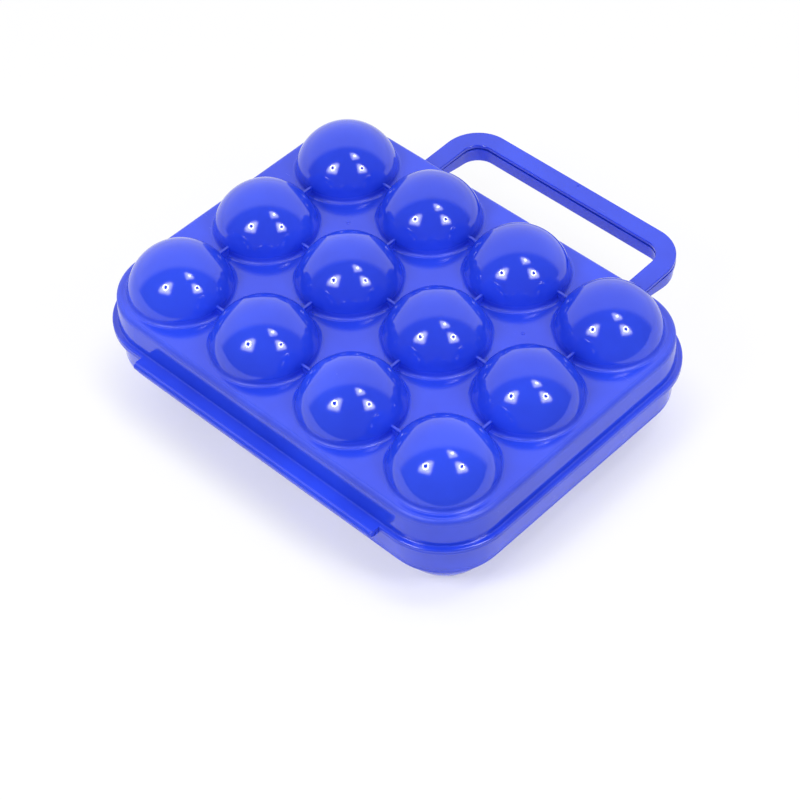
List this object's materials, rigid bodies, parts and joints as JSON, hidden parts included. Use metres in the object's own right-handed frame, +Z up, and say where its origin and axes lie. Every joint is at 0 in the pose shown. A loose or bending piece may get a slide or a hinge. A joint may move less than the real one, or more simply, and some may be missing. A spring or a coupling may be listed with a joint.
{
  "type": "egg storage box",
  "caption": "Hinged egg storage box of glossy moulded plastic with domed cups in the lid, matching cups in the base and a split carrying handle.",
  "frame": {"origin": "on the floor, under the middle of the closed box's overall length and depth", "axes": "+Z up, +X along the long rows of cups, +Y from the hinge to the handle"},
  "size_m": [0.2032, 0.198, 0.0696],
  "materials": {
    "blue_plastic": "gloss"
  },
  "bodies": {
    "base": {"base_rim": "blue_plastic", "base_cup_row1_column1": "blue_plastic", "base_cup_row1_column2": "blue_plastic", "base_cup_row1_column3": "blue_plastic", "base_cup_row1_column4": "blue_plastic", "base_cup_row2_column1": "blue_plastic", "base_cup_row2_column2": "blue_plastic", "base_cup_row2_column3": "blue_plastic", "base_cup_row2_column4": "blue_plastic", "base_cup_row3_column1": "blue_plastic", "base_cup_row3_column2": "blue_plastic", "base_cup_row3_column3": "blue_plastic", "base_cup_row3_column4": "blue_plastic", "base_hinge_leaf": "blue_plastic", "base_handle": "blue_plastic"},
    "lid": {"lid_rim": "blue_plastic", "lid_cup_row1_column1": "blue_plastic", "lid_cup_row1_column2": "blue_plastic", "lid_cup_row1_column3": "blue_plastic", "lid_cup_row1_column4": "blue_plastic", "lid_cup_row2_column1": "blue_plastic", "lid_cup_row2_column2": "blue_plastic", "lid_cup_row2_column3": "blue_plastic", "lid_cup_row2_column4": "blue_plastic", "lid_cup_row3_column1": "blue_plastic", "lid_cup_row3_column2": "blue_plastic", "lid_cup_row3_column3": "blue_plastic", "lid_cup_row3_column4": "blue_plastic", "lid_hinge_leaf": "blue_plastic", "lid_handle": "blue_plastic", "snap_peg_left": "blue_plastic", "snap_peg_right": "blue_plastic"}
  },
  "joints": [
    {"name": "lid_hinge", "type": "hinge", "parent": "base", "child": "lid", "pos_m": [0, -0.09738, 0.0348], "axis": [1, 0, 0], "range_deg": [0, 180]}
  ]
}
